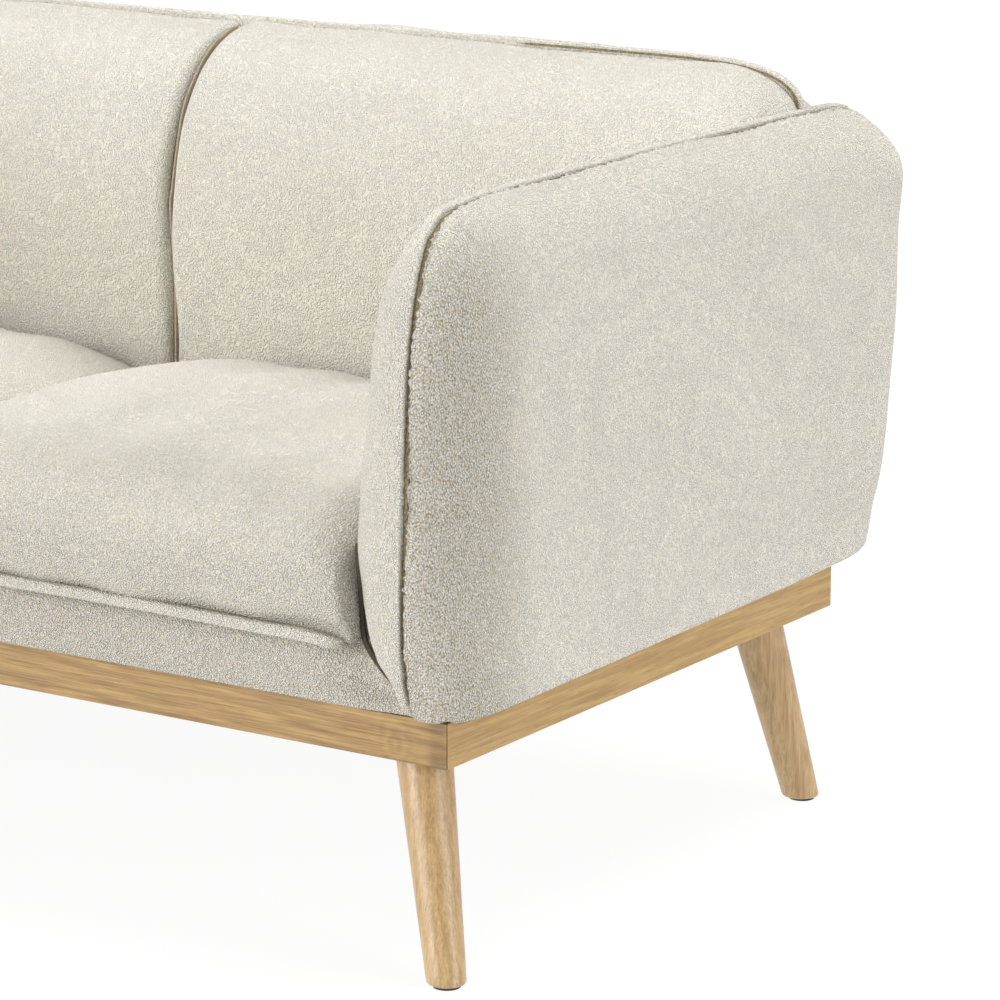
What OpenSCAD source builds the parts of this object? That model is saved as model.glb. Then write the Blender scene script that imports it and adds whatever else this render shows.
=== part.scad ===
// Two-seat sofa: upholstered body on a light wooden plinth with four splayed round legs.
// Millimetres. +Z up, the sofa faces -Y, +X is its left-to-right length.
// Origin: on the floor, under the middle of the overall bounding box.

/* [Plinth and legs] */
// overall length of the wooden plinth
plinth_w = 1480; // [1300:10:1700]
// front-to-back depth of the plinth
plinth_d = 710; // [680:5:760]
// height of the plinth rails
plinth_h = 44; // [40:1:60]
// thickness of the plinth rails
rail_t = 22; // [18:1:26]
// height of the plinth's underside above the floor
leg_h = 207; // [150:1:240]
// leg diameter where it meets the mounting plate
leg_top_d = 54; // [48:1:58]
// leg diameter at the floor
leg_foot_d = 37; // [30:1:44]
// distance of each leg's top centre from the plinth's end
leg_inset_x = 62; // [55:1:90]
// distance of each leg's top centre from the plinth's front or back
leg_inset_y = 53; // [50:1:80]
// how far a front leg leans outward, from its top to the floor
front_splay_x = 60; // [30:1:72]
// how far a front leg leans forward, from its top to the floor
front_splay_y = 52; // [25:1:60]
// how far a rear leg leans outward, from its top to the floor
rear_splay_x = 41; // [20:1:60]
// how far a rear leg leans backward, from its top to the floor
rear_splay_y = 35; // [20:1:55]

/* [Upholstery] */
// height of the top of each arm
arm_h = 716; // [680:1:740]
// thickness of each arm
arm_t = 123; // [118:1:140]
// how far the fabric stands out past the plinth's end
side_bulge = 12; // [8:1:16]
// distance of the arm's seam from the plinth's end
seam_inset = 34; // [30:1:38]
// height of the top of the back
back_h = 768; // [745:1:790]
// height of the crown of the seat
seat_h = 446; // [420:1:460]
// depth of the seat from the plinth's front to the back cushions
seat_d = 564; // [540:1:580]
// half the gap between the two seats and between the two backs
half_gap = 2; // [1:0.5:4]
// thickness of the cover with its fibre wrap
cover_t = 2.5; // [2:0.5:4]

/* [Hidden] */
$fn = 48;
wood = [0.79, 0.65, 0.43];
softwood = [0.72, 0.58, 0.40];
board = [0.48, 0.35, 0.22];
fabric = [0.88, 0.86, 0.80];
foam = [0.93, 0.88, 0.70];
steel = [0.62, 0.63, 0.65];
black = [0.12, 0.12, 0.13];

half_w = plinth_w / 2;
front_splay = [front_splay_x, front_splay_y];
rear_splay = [rear_splay_x, rear_splay_y];
front_bulge = 27;
rear_bulge = 157;
seam_rise = 4;
plinth_y = -(plinth_d + rear_bulge - front_bulge - seam_rise) / 2;
plinth_top = leg_h + plinth_h;
base_z = plinth_top + 1;
base_h = 50;
base_inset = 8;
base_t = 30;
base_top = base_z + base_h;
border_top = base_top + 9;
seat_z = border_top + 1;
glide_t = 3;
foam_gap = cover_t + 0.3;

arm_in = half_w - arm_t + side_bulge;
arm_out = half_w + side_bulge;
seam_x = half_w - seam_inset;
frame_out = seam_x - 7;
frame_in = frame_out - 39;
board_t = 3.5;
arm_front_y = 24;
arm_rail_z = arm_h - 156;
arm_rear = seat_d - 16;
back_y = 702;
post_d = 48;
back_rail_z = back_h - 102;
post_z = base_z + cover_t + 1;
back_rear = plinth_d + rear_bulge;
back_side = seam_x - 6;

// side outline of an arm, as front-to-back distance and height
arm_side = [
    [8, base_z], [-26, base_z + 30], [-27, base_z + 120], [-26, 470], [-14, 590],
    [-2, arm_h - 36], [26, arm_h - 4], [110, arm_h - 2], [400, arm_h],
    [740, arm_h + 2], [822, arm_h - 6], [866, arm_h - 66], [870, 590], [866, 500],
    [848, 330], [828, base_z + 12], [790, base_z], [400, base_z]
];
// front outline of an arm's inner half, as length and height: full below, tapered to the seam above
arm_front_view = [
    [seam_x - 4, base_z - 12], [seam_x - 42, base_z + 24], [arm_in + 3, base_z + 48],
    [arm_in - 2, arm_h - 336], [arm_in + 1, arm_h - 246], [arm_in + 11, arm_h - 166],
    [arm_in + 25, arm_h - 96], [arm_in + 55, arm_h - 32], [arm_in + 101, arm_h + 6],
    [arm_out + 108, arm_h + 6], [arm_out + 108, base_z - 12]
];
// side outline of a back cushion, in front of the frame
back_side_view = [
    [seat_d + 10, 330], [seat_d + 4, 400], [seat_d - 4, 500], [seat_d - 16, 590],
    [seat_d - 8, 680], [seat_d + 26, back_h - 16], [seat_d + 90, back_h + 2],
    [back_y - 4, back_h + 1], [back_y - 2, back_h - 20], [back_y - 2, 330]
];
// side outline of the padding behind the back's frame
rear_side_view = [
    [back_y, back_h + 4], [760, back_h - 12], [822, arm_h - 4], [866, arm_h - 66],
    [868, 590], [865, 500], [848, 330], [828, base_z + 12], [790, base_z],
    [back_y, base_z], [back_y, 400], [back_y, 600]
];
// side outline of a seat cushion
seat_side_view = [
    [-14, seat_z + 10], [-28, seat_z + 33], [-24, seat_z + 80], [16, seat_h - 14],
    [120, seat_h + 1], [330, seat_h + 1], [seat_d - 30, seat_h - 24],
    [seat_d - 6, seat_z + 90], [seat_d - 8, seat_z], [2, seat_z]
];

// ---------- helpers ----------

// one round of corner cutting: turns a coarse outline into a smooth one
function soften(p) = [
    for (i = [0 : len(p) - 1])
        let (a = p[i], b = p[(i + 1) % len(p)])
            each [a * 0.75 + b * 0.25, a * 0.25 + b * 0.75]
];
function smooth(p) = soften(soften(p));

function unit(v) = v / norm(v);

// the same clockwise outline moved inward by d
function shrink(p, d) = [
    for (i = [0 : len(p) - 1])
        let (
            a = p[(i + len(p) - 1) % len(p)], b = p[i], c = p[(i + 1) % len(p)],
            e = unit(b - a), f = unit(c - b),
            m = unit([e[1] + f[1], -(e[0] + f[0])]),
            k = max(0.5, m[0] * e[1] - m[1] * e[0])
        )
            b + m * d / k
];

// a closed front-to-back outline, drawn from x0 to x1
module side_slab(p, x0, x1) {
    translate([x0, plinth_y, 0])
        rotate([90, 0, 90]) linear_extrude(x1 - x0) polygon(p);
}

module box(x0, x1, y0, y1, z0, z1) {
    translate([x0, plinth_y + y0, z0]) cube([x1 - x0, y1 - y0, z1 - z0]);
}

module round_rect(w, h, r) {
    translate([r, 0]) square([w - 2 * r, h]);
    translate([0, r]) square([w, h - 2 * r]);
    for (x = [r, w - r], y = [r, h - r]) translate([x, y]) circle(r);
}

// rounded outline seen from the front, drawn through the whole depth
module front_slab(x0, x1, z0, z1, r) {
    translate([x0, plinth_y + 900, z0])
        rotate([90, 0, 0]) linear_extrude(960) round_rect(x1 - x0, z1 - z0, r);
}

// a closed outline seen from the front, drawn through the whole depth
module front_outline(p) {
    translate([0, plinth_y + 900, 0]) rotate([90, 0, 0]) linear_extrude(960) polygon(p);
}

// rounded outline seen from above, drawn through the whole height
module plan_slab(x0, x1, y0, y1, r) {
    translate([x0, plinth_y + y0, base_z - 30])
        linear_extrude(600) round_rect(x1 - x0, y1 - y0, r);
}

module left_copy() { mirror([1, 0, 0]) children(); }

// puts the children at the four leg tops, turned so that local -Z runs down the leg
module at_legs() {
    for (sx = [-1, 1]) {
        at_leg(sx, -1) children();
        at_leg(sx, 1) children();
    }
}
module at_leg(sx, sy) {
    s = sy < 0 ? front_splay : rear_splay;
    lean = norm(s);
    translate([
        sx * (half_w - leg_inset_x),
        sy < 0 ? plinth_y + leg_inset_y : plinth_y + plinth_d - leg_inset_y,
        leg_h
    ])
        rotate([0, 0, atan2(sy * s[1], sx * s[0])]) rotate([0, -atan2(lean, leg_h), 0])
            children();
}

// ---------- plinth ----------

// one mitred rail of length l, lying along +X with its outer face on y = 0
module mitred_rail(l) {
    translate([0, 0, leg_h]) linear_extrude(plinth_h)
        polygon([[0, 0], [l, 0], [l - rail_t, rail_t], [rail_t, rail_t]]);
}
module plinth_front_rail() {
    color(wood) translate([-half_w, plinth_y, 0]) mitred_rail(plinth_w);
}
module plinth_rear_rail() {
    color(wood) translate([half_w, plinth_y + plinth_d, 0])
        rotate([0, 0, 180]) mitred_rail(plinth_w);
}
module plinth_right_rail() {
    color(wood) translate([half_w, plinth_y, 0]) rotate([0, 0, 90]) mitred_rail(plinth_d);
}
module plinth_left_rail() { left_copy() plinth_right_rail(); }

module plinth_cross_rails() {
    color(softwood) for (x = [-250, 250])
        box(x - 16, x + 16, rail_t, plinth_d - rail_t, leg_h + 2, plinth_top - 2);
}
module leg_blocks() {
    color(softwood) difference() {
        for (x = [-half_w + rail_t, half_w - rail_t - 92], y = [rail_t, plinth_d - rail_t - 92])
            box(x, x + 92, y, y + 92, leg_h + 3, leg_h + 27);
        at_legs() translate([0, 0, -20]) cylinder(d = 16, h = 80);
    }
}

// ---------- legs and their fittings ----------

module leg_solid(sx, sy) {
    s = sy < 0 ? front_splay : rear_splay;
    length = norm([leg_h, s[0], s[1]]);
    slope = (leg_top_d - leg_foot_d) / 2 / length;
    color(wood) difference() {
        intersection() {
            at_leg(sx, sy) translate([0, 0, -length - 20])
                cylinder(
                    r1 = leg_foot_d / 2 - 20 * slope, r2 = leg_top_d / 2 + 20 * slope,
                    h = length + 40, $fn = 96
                );
            // flat at the floor and under the plinth, with the floor edge eased
            leg_foot(sx, sy) cylinder(
                r1 = leg_foot_d / 2 - 0.5, r2 = leg_foot_d / 2 + leg_h, h = leg_h - glide_t
            );
        }
        at_leg(sx, sy) translate([0, 0, -52]) cylinder(d = 8.4, h = 80);
        leg_foot(sx, sy) translate([0, 0, -0.1]) cylinder(d = 4.4, h = 14.3);
    }
}
module leg_front_right() { leg_solid(1, -1); }
module leg_front_left() { leg_solid(-1, -1); }
module leg_rear_right() { leg_solid(1, 1); }
module leg_rear_left() { leg_solid(-1, 1); }

// puts the children on the floor under one leg
module leg_foot(sx, sy) {
    s = sy < 0 ? front_splay : rear_splay;
    translate([
        sx * (half_w - leg_inset_x + s[0]),
        sy < 0 ? plinth_y + leg_inset_y - s[1] : plinth_y + plinth_d - leg_inset_y + s[1],
        glide_t
    ])
        children();
}
module foot_glides() {
    color(black) for (sx = [-1, 1], sy = [-1, 1]) leg_foot(sx, sy) {
        translate([0, 0, -glide_t]) cylinder(d = 26, h = glide_t);
        cylinder(d = 4, h = 14);
    }
}
module leg_plates() {
    color(steel) difference() {
        for (sx = [-1, 1], sy = [-1, 1]) plate_at(sx, sy)
            translate([-32, -32, 0]) linear_extrude(2.5) round_rect(64, 64, 8);
        at_legs() translate([0, 0, -20]) cylinder(d = 9, h = 60);
        for (sx = [-1, 1], sy = [-1, 1]) plate_at(sx, sy) plate_corners()
            translate([0, 0, -1]) cylinder(d = 4.8, h = 6);
    }
}
module plate_at(sx, sy) {
    translate([
        sx * (half_w - leg_inset_x),
        sy < 0 ? plinth_y + leg_inset_y + 8 : plinth_y + plinth_d - leg_inset_y - 8,
        leg_h + 0.2
    ])
        children();
}
module plate_corners() {
    for (x = [-25, 25], y = [-25, 25]) translate([x, y, 0]) children();
}
module leg_plate_screws() {
    color(steel) for (sx = [-1, 1], sy = [-1, 1]) plate_at(sx, sy) plate_corners() {
        translate([0, 0, -2]) cylinder(d = 8, h = 1.9);
        translate([0, 0, -0.2]) cylinder(d = 4, h = 20);
    }
}
module hanger_bolts() {
    color(steel) at_legs() translate([0, 0, -50]) cylinder(d = 8, h = 74);
}
module dust_cover() {
    color(black) box(
        -half_w + rail_t + 1, half_w - rail_t - 1, rail_t + 1, plinth_d - rail_t - 1,
        plinth_top - 1.8, plinth_top - 0.6
    );
}

// ---------- base frame and springs ----------

module base_front_rail() {
    color(softwood) box(
        -half_w + base_inset, half_w - base_inset - seam_inset, base_inset,
        base_inset + base_t, base_z, base_top
    );
}
module base_rear_rail() {
    color(softwood) box(
        -half_w + base_inset + seam_inset, half_w - base_inset - seam_inset,
        back_y - base_t - 1, back_y - 1, base_z, base_top
    );
}
module base_right_rail() {
    color(softwood) box(
        frame_in - 34, frame_in - 4, base_inset + base_t + 0.5, back_y - base_t - 1.5,
        base_z, base_top
    );
}
module base_left_rail() { left_copy() base_right_rail(); }
module base_centre_rail() {
    color(softwood) box(
        -base_t / 2, base_t / 2, base_inset + base_t + 0.5, back_y - base_t - 1.5,
        base_z, base_top
    );
}

spring_y = base_inset + base_t;
spring_r = 20;
spring_turns = 14;
spring_wire = 3.6;
module spring() {
    for (k = [0 : spring_turns - 1]) {
        side = k % 2 == 0 ? 1 : -1;
        translate([side * 14, spring_y + spring_r + k * 2 * spring_r, 0]) {
            rotate([0, 0, side > 0 ? -90 : 90])
                rotate_extrude(angle = 180, $fn = 24)
                    translate([spring_r, 0]) circle(d = spring_wire, $fn = 24);
            if (k > 0)
                translate([-side * 28, -spring_r, 0]) rotate([0, side * 90, 0])
                    cylinder(d = spring_wire, h = 28, $fn = 24);
        }
    }
    for (y = [spring_y - 9, spring_y + spring_turns * 2 * spring_r])
        translate([14 * (y > 300 ? -1 : 1), y, 0]) rotate([-90, 0, 0])
            cylinder(d = spring_wire, h = 9, $fn = 24);
}
module at_springs() {
    for (sx = [-1, 1], k = [0 : 2])
        translate([sx * (150 + 155 * k), plinth_y, base_top + 4]) children();
}
module seat_springs() { color(steel) at_springs() spring_run(); }
module spring_run() {
    intersection() {
        spring();
        translate([-60, spring_y - 20, -5]) cube([120, 640, 10]);
    }
}
module spring_clips() {
    color(black) at_springs() for (k = [0, 1]) {
        x = k == 0 ? 14 : -14;
        y = k == 0 ? spring_y - 13 : spring_y + spring_turns * 2 * spring_r + 9;
        translate([x - 9, y - (k == 0 ? 5 : 0), -3.8]) cube([18, 9, 7]);
    }
}

// ---------- arms ----------

module arm_front_post_right() {
    color(softwood) difference() {
        box(frame_in, frame_out, arm_front_y, arm_front_y + 60, base_z, arm_rail_z - 0.5);
        arm_bolt_axes() cylinder(d = 8.4, h = 90);
    }
}
module arm_front_post_left() { left_copy() arm_front_post_right(); }
module arm_top_rail_right() {
    color(softwood)
        box(frame_in, frame_out, arm_front_y, back_y - 2, arm_rail_z, arm_rail_z + 40);
}
module arm_top_rail_left() { left_copy() arm_top_rail_right(); }
module arm_inner_board_right() {
    color(board) box(
        frame_in - board_t, frame_in - 0.2, arm_front_y, arm_rear - 6, base_top + 2,
        arm_rail_z + 40
    );
}
module arm_inner_board_left() { left_copy() arm_inner_board_right(); }
module arm_outer_board_right() {
    color(board) box(
        frame_out + 0.2, frame_out + board_t, arm_front_y, back_y + post_d + 40, post_z,
        arm_rail_z + 40
    );
}
module arm_outer_board_left() { left_copy() arm_outer_board_right(); }

// bolts that tie each front post to the base frame's side rail
module arm_bolt_axes() {
    for (y = [arm_front_y + 28, arm_front_y + 46], z = [base_z + 16])
        translate([frame_in - 44, plinth_y + y, z]) rotate([0, 90, 0]) children();
}
module one_side_bolts() {
    arm_bolt_axes() {
        translate([0, 0, 4.6]) cylinder(d = 13, h = 5, $fn = 6);
        translate([0, 0, 9]) cylinder(d = 8, h = 68);
    }
}
module arm_bolts() {
    color(steel) { one_side_bolts(); left_copy() one_side_bolts(); }
}
module one_side_nuts() {
    arm_bolt_axes() translate([0, 0, 78]) difference() {
        cylinder(d = 14, h = 4);
        translate([0, 0, -1]) cylinder(d = 8.2, h = 4);
    }
}
module arm_bolt_nuts() {
    color(steel) { one_side_nuts(); left_copy() one_side_nuts(); }
}

// outer half of an arm, from the seam outward, i inside its surface
module arm_outer_form(i, open = 0) {
    intersection() {
        side_slab(shrink(smooth(arm_side), i), seam_x - 3 - open, arm_out - i);
        front_slab(seam_x - 80, arm_out - i, base_z + i, arm_h + 60, 26);
        plan_slab(seam_x - 80, arm_out - i, -27 + i, back_rear - i, 34);
    }
}
module arm_outer_foam_right() {
    color(foam) intersection() {
        arm_outer_form(foam_gap);
        box(frame_out + board_t + 0.5, arm_out, -100, 1000, 0, 1000);
    }
}
module arm_outer_foam_left() { left_copy() arm_outer_foam_right(); }
module arm_outer_cover_right() {
    color(fabric) difference() {
        arm_outer_form(0);
        arm_outer_form(cover_t, 20);
    }
}
module arm_outer_cover_left() { left_copy() arm_outer_cover_right(); }

// inner half of an arm, from the seam inward, i inside its surface
module arm_inner_form(i, open = 0) {
    intersection() {
        side_slab(shrink(smooth(arm_side), i), arm_in + i, seam_x - 3.5 + open);
        front_outline(shrink(smooth(arm_front_view), i));
        box(arm_in, arm_out, -60, arm_rear - i, 0, 1000);
        plan_slab(arm_in + i, seam_x + 120, -27 + i, back_rear + 200, 30);
    }
}
module arm_inner_foam_right() {
    color(foam) difference() {
        arm_inner_form(foam_gap);
        box(frame_in - board_t - 0.5, arm_out, arm_front_y - 0.5, 1000, 0, arm_rail_z + 40.5);
        box(frame_in - 36, arm_out, base_inset - 1, 1000, 0, base_top + 1.5);
        box(frame_out - 4, arm_out, -100, arm_front_y, 0, base_top + 1.5);
    }
}
module arm_inner_foam_left() { left_copy() arm_inner_foam_right(); }
module arm_inner_cover_right() {
    color(fabric) difference() {
        arm_inner_form(0);
        arm_inner_form(cover_t, 20);
        box(frame_in - 36, arm_out, base_inset - 1, 1000, 0, base_top + 1.5);
    }
}
module arm_inner_cover_left() { left_copy() arm_inner_cover_right(); }

// raised flat seam that runs up the front of the arm and back along its top
module arm_seam_right() {
    color(fabric) intersection() {
        difference() {
            side_slab(shrink(smooth(arm_side), -seam_rise), seam_x - 12, seam_x - 3.5);
            side_slab(shrink(smooth(arm_side), -0.3), seam_x - 20, seam_x + 10);
        }
        union() {
            box(half_w - 200, arm_out, -60, 60, base_z + 14, 1000);
            box(half_w - 200, arm_out, -60, 782, arm_h - 60, 1000);
        }
    }
}
module arm_seam_left() { left_copy() arm_seam_right(); }

// ---------- back ----------

module back_posts() {
    color(softwood) for (x = [-frame_out, -22, frame_out - 44])
        box(x, x + 44, back_y, back_y + post_d, post_z, back_rail_z - 0.5);
}
module back_top_rail() {
    color(softwood)
        box(-frame_out, frame_out, back_y, back_y + post_d, back_rail_z, back_rail_z + 40);
}
module back_brackets() {
    color(steel) for (x = [-frame_out + 50, 26, frame_out - 78]) {
        box(x, x + 28, back_y - base_t - 1, back_y - 1, base_top, base_top + 3);
        box(x, x + 28, back_y - 4, back_y - 1, base_top, base_top + 26);
    }
}
module back_webbing() {
    color(black) for (sx = [-1, 1], k = [0 : 3])
        translate([sx * (120 + 165 * k) - 30, plinth_y + back_y - 1.6, base_top + 28])
            cube([60, 1.4, back_rail_z - base_top + 6]);
}

module back_form(i) {
    intersection() {
        side_slab(shrink(smooth(back_side_view), i), half_gap + i, back_side - i);
        front_slab(half_gap + i, back_side - i, 300, back_h + 0.5 - i, 46);
        plan_slab(half_gap + i, back_side - i, seat_d - 20 + i, back_y + 300, 40);
    }
}
module back_foam_right() {
    color(foam) difference() {
        back_form(foam_gap);
        box(frame_in - board_t - 1, arm_out, 0, 1000, 0, arm_rail_z + 41);
    }
}
module back_foam_left() { left_copy() back_foam_right(); }
module back_cover_right() {
    color(fabric) difference() {
        back_form(0);
        intersection() {
            back_form(cover_t);
            box(0, 900, 0, back_y - 4, 0, 1000);
        }
        box(half_gap + 40, frame_in - 20, back_y - 60, back_y + 5, 350, back_rail_z);
        box(frame_in - board_t - 1, arm_out, 0, 1000, 0, arm_rail_z + 41);
    }
}
module back_cover_left() { left_copy() back_cover_right(); }
// raised flat seam over the top and round the upper corners of one back cushion
module back_seam_right() {
    color(fabric) intersection() {
        translate([0, plinth_y + back_y - 1, 0]) rotate([90, 0, 0]) linear_extrude(7) difference() {
            translate([half_gap - 1, 300])
                round_rect(back_side - half_gap + 2, back_h - 295.5, 50);
            translate([half_gap + 0.2, 300])
                round_rect(back_side - half_gap - 0.4, back_h - 299.2, 46);
        }
        box(0, arm_out, 0, 1000, arm_h + 8, 1000);
    }
}
module back_seam_left() { left_copy() back_seam_right(); }

module rear_form(i) {
    intersection() {
        side_slab(shrink(smooth(rear_side_view), i), -seam_x + 4, seam_x - 4);
        front_slab(-seam_x + 4, seam_x - 4, base_z - 5 + i, back_h + 2 - i, 44);
    }
}
// the space behind the back cushions that the posts, top rail and side boards stand in
module frame_zone(i) {
    box(
        -frame_out - i, frame_out + i, back_y - 30, back_y + post_d + i, post_z - i,
        back_rail_z + 40 + i
    );
    for (side = [0, 1]) mirror([side, 0, 0]) box(
        frame_out - 1, frame_out + board_t + i, 0, back_y + post_d + 40 + i, post_z - i,
        arm_rail_z + 40 + i
    );
}
module rear_foam() {
    color(foam) difference() {
        rear_form(foam_gap);
        frame_zone(0.5);
    }
}
module rear_cover() {
    color(fabric) difference() {
        rear_form(0);
        rear_form(cover_t);
        frame_zone(0.5);
    }
}

// ---------- seat ----------

module seat_form(i) {
    intersection() {
        side_slab(shrink(smooth(seat_side_view), i), half_gap + i, arm_in - 3 - i);
        front_slab(half_gap + i, arm_in - 3 - i, seat_z + i, seat_h - i, 34);
        plan_slab(half_gap + i, arm_in - 3 - i, -27 + i, seat_d - 3 - i, 26);
    }
}
module seat_foam_right() { color(foam) seat_form(foam_gap); }
module seat_foam_left() { left_copy() seat_foam_right(); }
module seat_cover_right() {
    color(fabric) difference() {
        seat_form(0);
        seat_form(cover_t);
    }
}
module seat_cover_left() { left_copy() seat_cover_right(); }
module seat_seams() {
    color(fabric) for (side = [0, 1]) mirror([side, 0, 0])
        box(half_gap + 24, arm_in - 26, -21, -13, border_top - 8, border_top);
}
// padded lower front panel between the seam and the plinth
module front_border() {
    color(fabric) difference() {
        box(-seam_x + 14, seam_x - 14, -12, base_inset - 1.5, base_z, border_top);
        for (side = [0, 1]) mirror([side, 0, 0])
            front_outline(shrink(smooth(arm_front_view), -0.5));
    }
}

plinth_front_rail();
plinth_rear_rail();
plinth_left_rail();
plinth_right_rail();
plinth_cross_rails();
leg_blocks();
leg_front_left();
leg_front_right();
leg_rear_left();
leg_rear_right();
leg_plates();
leg_plate_screws();
hanger_bolts();
foot_glides();
dust_cover();
base_front_rail();
base_rear_rail();
base_left_rail();
base_right_rail();
base_centre_rail();
seat_springs();
spring_clips();
arm_front_post_left();
arm_front_post_right();
arm_top_rail_left();
arm_top_rail_right();
arm_inner_board_left();
arm_inner_board_right();
arm_outer_board_left();
arm_outer_board_right();
arm_bolts();
arm_bolt_nuts();
arm_inner_foam_left();
arm_inner_foam_right();
arm_outer_foam_left();
arm_outer_foam_right();
arm_inner_cover_left();
arm_inner_cover_right();
arm_outer_cover_left();
arm_outer_cover_right();
arm_seam_left();
arm_seam_right();
back_posts();
back_top_rail();
back_brackets();
back_webbing();
back_foam_left();
back_foam_right();
back_cover_left();
back_cover_right();
back_seam_left();
back_seam_right();
rear_foam();
rear_cover();
seat_foam_left();
seat_foam_right();
seat_cover_left();
seat_cover_right();
seat_seams();
front_border();
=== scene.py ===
"""Looks of the two-seat sofa: boucle upholstery, oiled wood and soft studio light.

The shape code works in millimetres from the plinth's front right corner: X outward, Y backward, Z above
the floor. Soft left-hand pieces are the mirror images of right-hand ones. Materials work in metres."""

import math

import bpy
import numpy as np
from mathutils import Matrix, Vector


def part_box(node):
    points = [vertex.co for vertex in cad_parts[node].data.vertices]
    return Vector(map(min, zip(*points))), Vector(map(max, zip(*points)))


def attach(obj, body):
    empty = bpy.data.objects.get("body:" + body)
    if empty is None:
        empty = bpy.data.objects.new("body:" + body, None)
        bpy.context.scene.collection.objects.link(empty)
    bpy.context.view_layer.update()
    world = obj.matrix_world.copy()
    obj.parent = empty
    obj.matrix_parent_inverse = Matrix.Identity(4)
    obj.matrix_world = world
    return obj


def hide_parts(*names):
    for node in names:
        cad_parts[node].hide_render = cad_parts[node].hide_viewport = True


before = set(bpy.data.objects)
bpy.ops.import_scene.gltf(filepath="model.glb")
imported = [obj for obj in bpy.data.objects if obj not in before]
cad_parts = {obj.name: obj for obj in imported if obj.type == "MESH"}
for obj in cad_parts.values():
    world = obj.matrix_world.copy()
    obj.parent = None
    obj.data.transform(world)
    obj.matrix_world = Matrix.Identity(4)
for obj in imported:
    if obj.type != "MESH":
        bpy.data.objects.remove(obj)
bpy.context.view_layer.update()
MM = 0.001

# ---------------------------------------------------------------- places taken from the CAD

plinth_lo, plinth_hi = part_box("plinth_front_rail")
CORNER = np.array([plinth_hi.x, plinth_lo.y, 0.0]) / MM
PLINTH_BOTTOM, PLINTH_TOP = plinth_lo.z / MM, plinth_hi.z / MM
PLINTH_DEPTH = (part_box("plinth_rear_rail")[1].y - plinth_lo.y) / MM
RAIL_THICK = (plinth_hi.y - plinth_lo.y) / MM
HALF = CORNER[0]  # half the plinth's width, so the sofa's middle is at X = -HALF
BASE_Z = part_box("front_border")[0].z / MM  # underside of the upholstery

# the arm's seam lies a little outside the inner face of its outer cover
SEAM_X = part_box("arm_outer_cover_right")[0].x / MM - HALF + 3
ARM_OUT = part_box("arm_outer_cover_right")[1].x / MM - HALF
ARM_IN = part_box("arm_inner_cover_right")[0].x / MM - HALF

# the right-hand cushions' left and right ends; the seat is pressed a little into the arm
back_lo, back_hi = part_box("back_cover_right")
BACK_X0, BACK_X1 = back_lo.x / MM - HALF, back_hi.x / MM - HALF
seat_lo, seat_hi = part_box("seat_cover_right")
SEAT_X0, SEAT_X1 = seat_lo.x / MM - HALF, seat_hi.x / MM - HALF + 4

SIDES = (("right", False), ("left", True))  # each side's name, and whether it is mirrored

# ---------------------------------------------------------------- curves and fields

SPAN_STEPS = 24  # steps between two points of a spline
WAVE_COUNT, WAVE_PEAK = 14, 3.0  # how many waves there are in a ripple, and about how high they add up


def spline(points, count, closed=True):
    """Catmull-Rom curve through points, sampled evenly along its length."""
    p = np.array(points, float)
    n = len(p)
    fine = []
    for i in range(n if closed else n - 1):
        if closed:
            a, b, c, d = p[i - 1], p[i], p[(i + 1) % n], p[(i + 2) % n]
        else:
            a, b, c, d = p[max(i - 1, 0)], p[i], p[i + 1], p[min(i + 2, n - 1)]
        for t in np.linspace(0, 1, SPAN_STEPS, endpoint=False):
            fine.append(0.5 * (2 * b + (c - a) * t + (2 * a - 5 * b + 4 * c - d) * t * t
                               + (3 * b - a - 3 * c + d) * t**3))
    fine.append(fine[0] if closed else p[-1])
    fine = np.array(fine)
    along = np.concatenate([[0], np.cumsum(np.linalg.norm(np.diff(fine, axis=0), axis=1))])
    at = np.linspace(0, along[-1], count + 1 if closed else count)
    if closed:
        at = at[:-1]
    return np.stack([np.interp(at, along, fine[:, k]) for k in range(p.shape[1])], 1)


def outward(curve, closed=True):
    """Unit normals of a clockwise plane curve, pointing out of it."""
    if closed:
        t = np.roll(curve, -1, 0) - np.roll(curve, 1, 0)
    else:
        t = np.gradient(curve, axis=0)
    t = t / np.linalg.norm(t, axis=1)[:, None]
    return np.stack([-t[:, 1], t[:, 0]], 1)


def blunt(curve, reach):
    """A closed curve with its corners rounded over about reach points."""
    wave = 2 * math.pi * np.fft.rfftfreq(len(curve)) * reach
    return np.fft.irfft(np.fft.rfft(curve, axis=0) * np.exp(-(wave**2) / 2)[:, None], len(curve), axis=0)


def smoothstep(lo, hi, v):
    """0 below lo and 1 above hi, eased between them."""
    t = np.clip((v - lo) / (hi - lo), 0, 1)
    return t * t * (3 - 2 * t)


def quarter_drop(distance, radius):
    """How far an edge of the given radius has rounded away at a distance from its end, from 0 to 1."""
    k = 1 - np.clip(distance / radius, 0, 1)
    return 1 - math.sqrt(max(0.0, 1 - k * k))


def stations(lo, hi, round_lo, round_hi, flat):
    """Places from lo to hi, closer together where the two ends round over. flat counts the even ones
    between those, with the two that they share."""
    quarter = 1 - np.cos(np.linspace(0, math.pi / 2, 11))
    middle = np.linspace(lo + round_lo, hi - round_hi, flat)[1:-1]
    return np.concatenate([lo + round_lo * quarter, middle, (hi - round_hi * quarter)[::-1]])


def waves(points, length, seed):
    """A soft random field of about unit height, from plane waves of roughly the given length."""
    rng = np.random.RandomState(seed)
    total = np.zeros(len(points))
    for _ in range(WAVE_COUNT):
        heading = rng.normal(size=3)
        heading /= np.linalg.norm(heading)
        k = 2 * math.pi / (length * rng.uniform(0.6, 1.7))
        total += np.sin(points @ heading * k + rng.uniform(0, 2 * math.pi))
    return total / WAVE_PEAK


# ---------------------------------------------------------------- meshes


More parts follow.
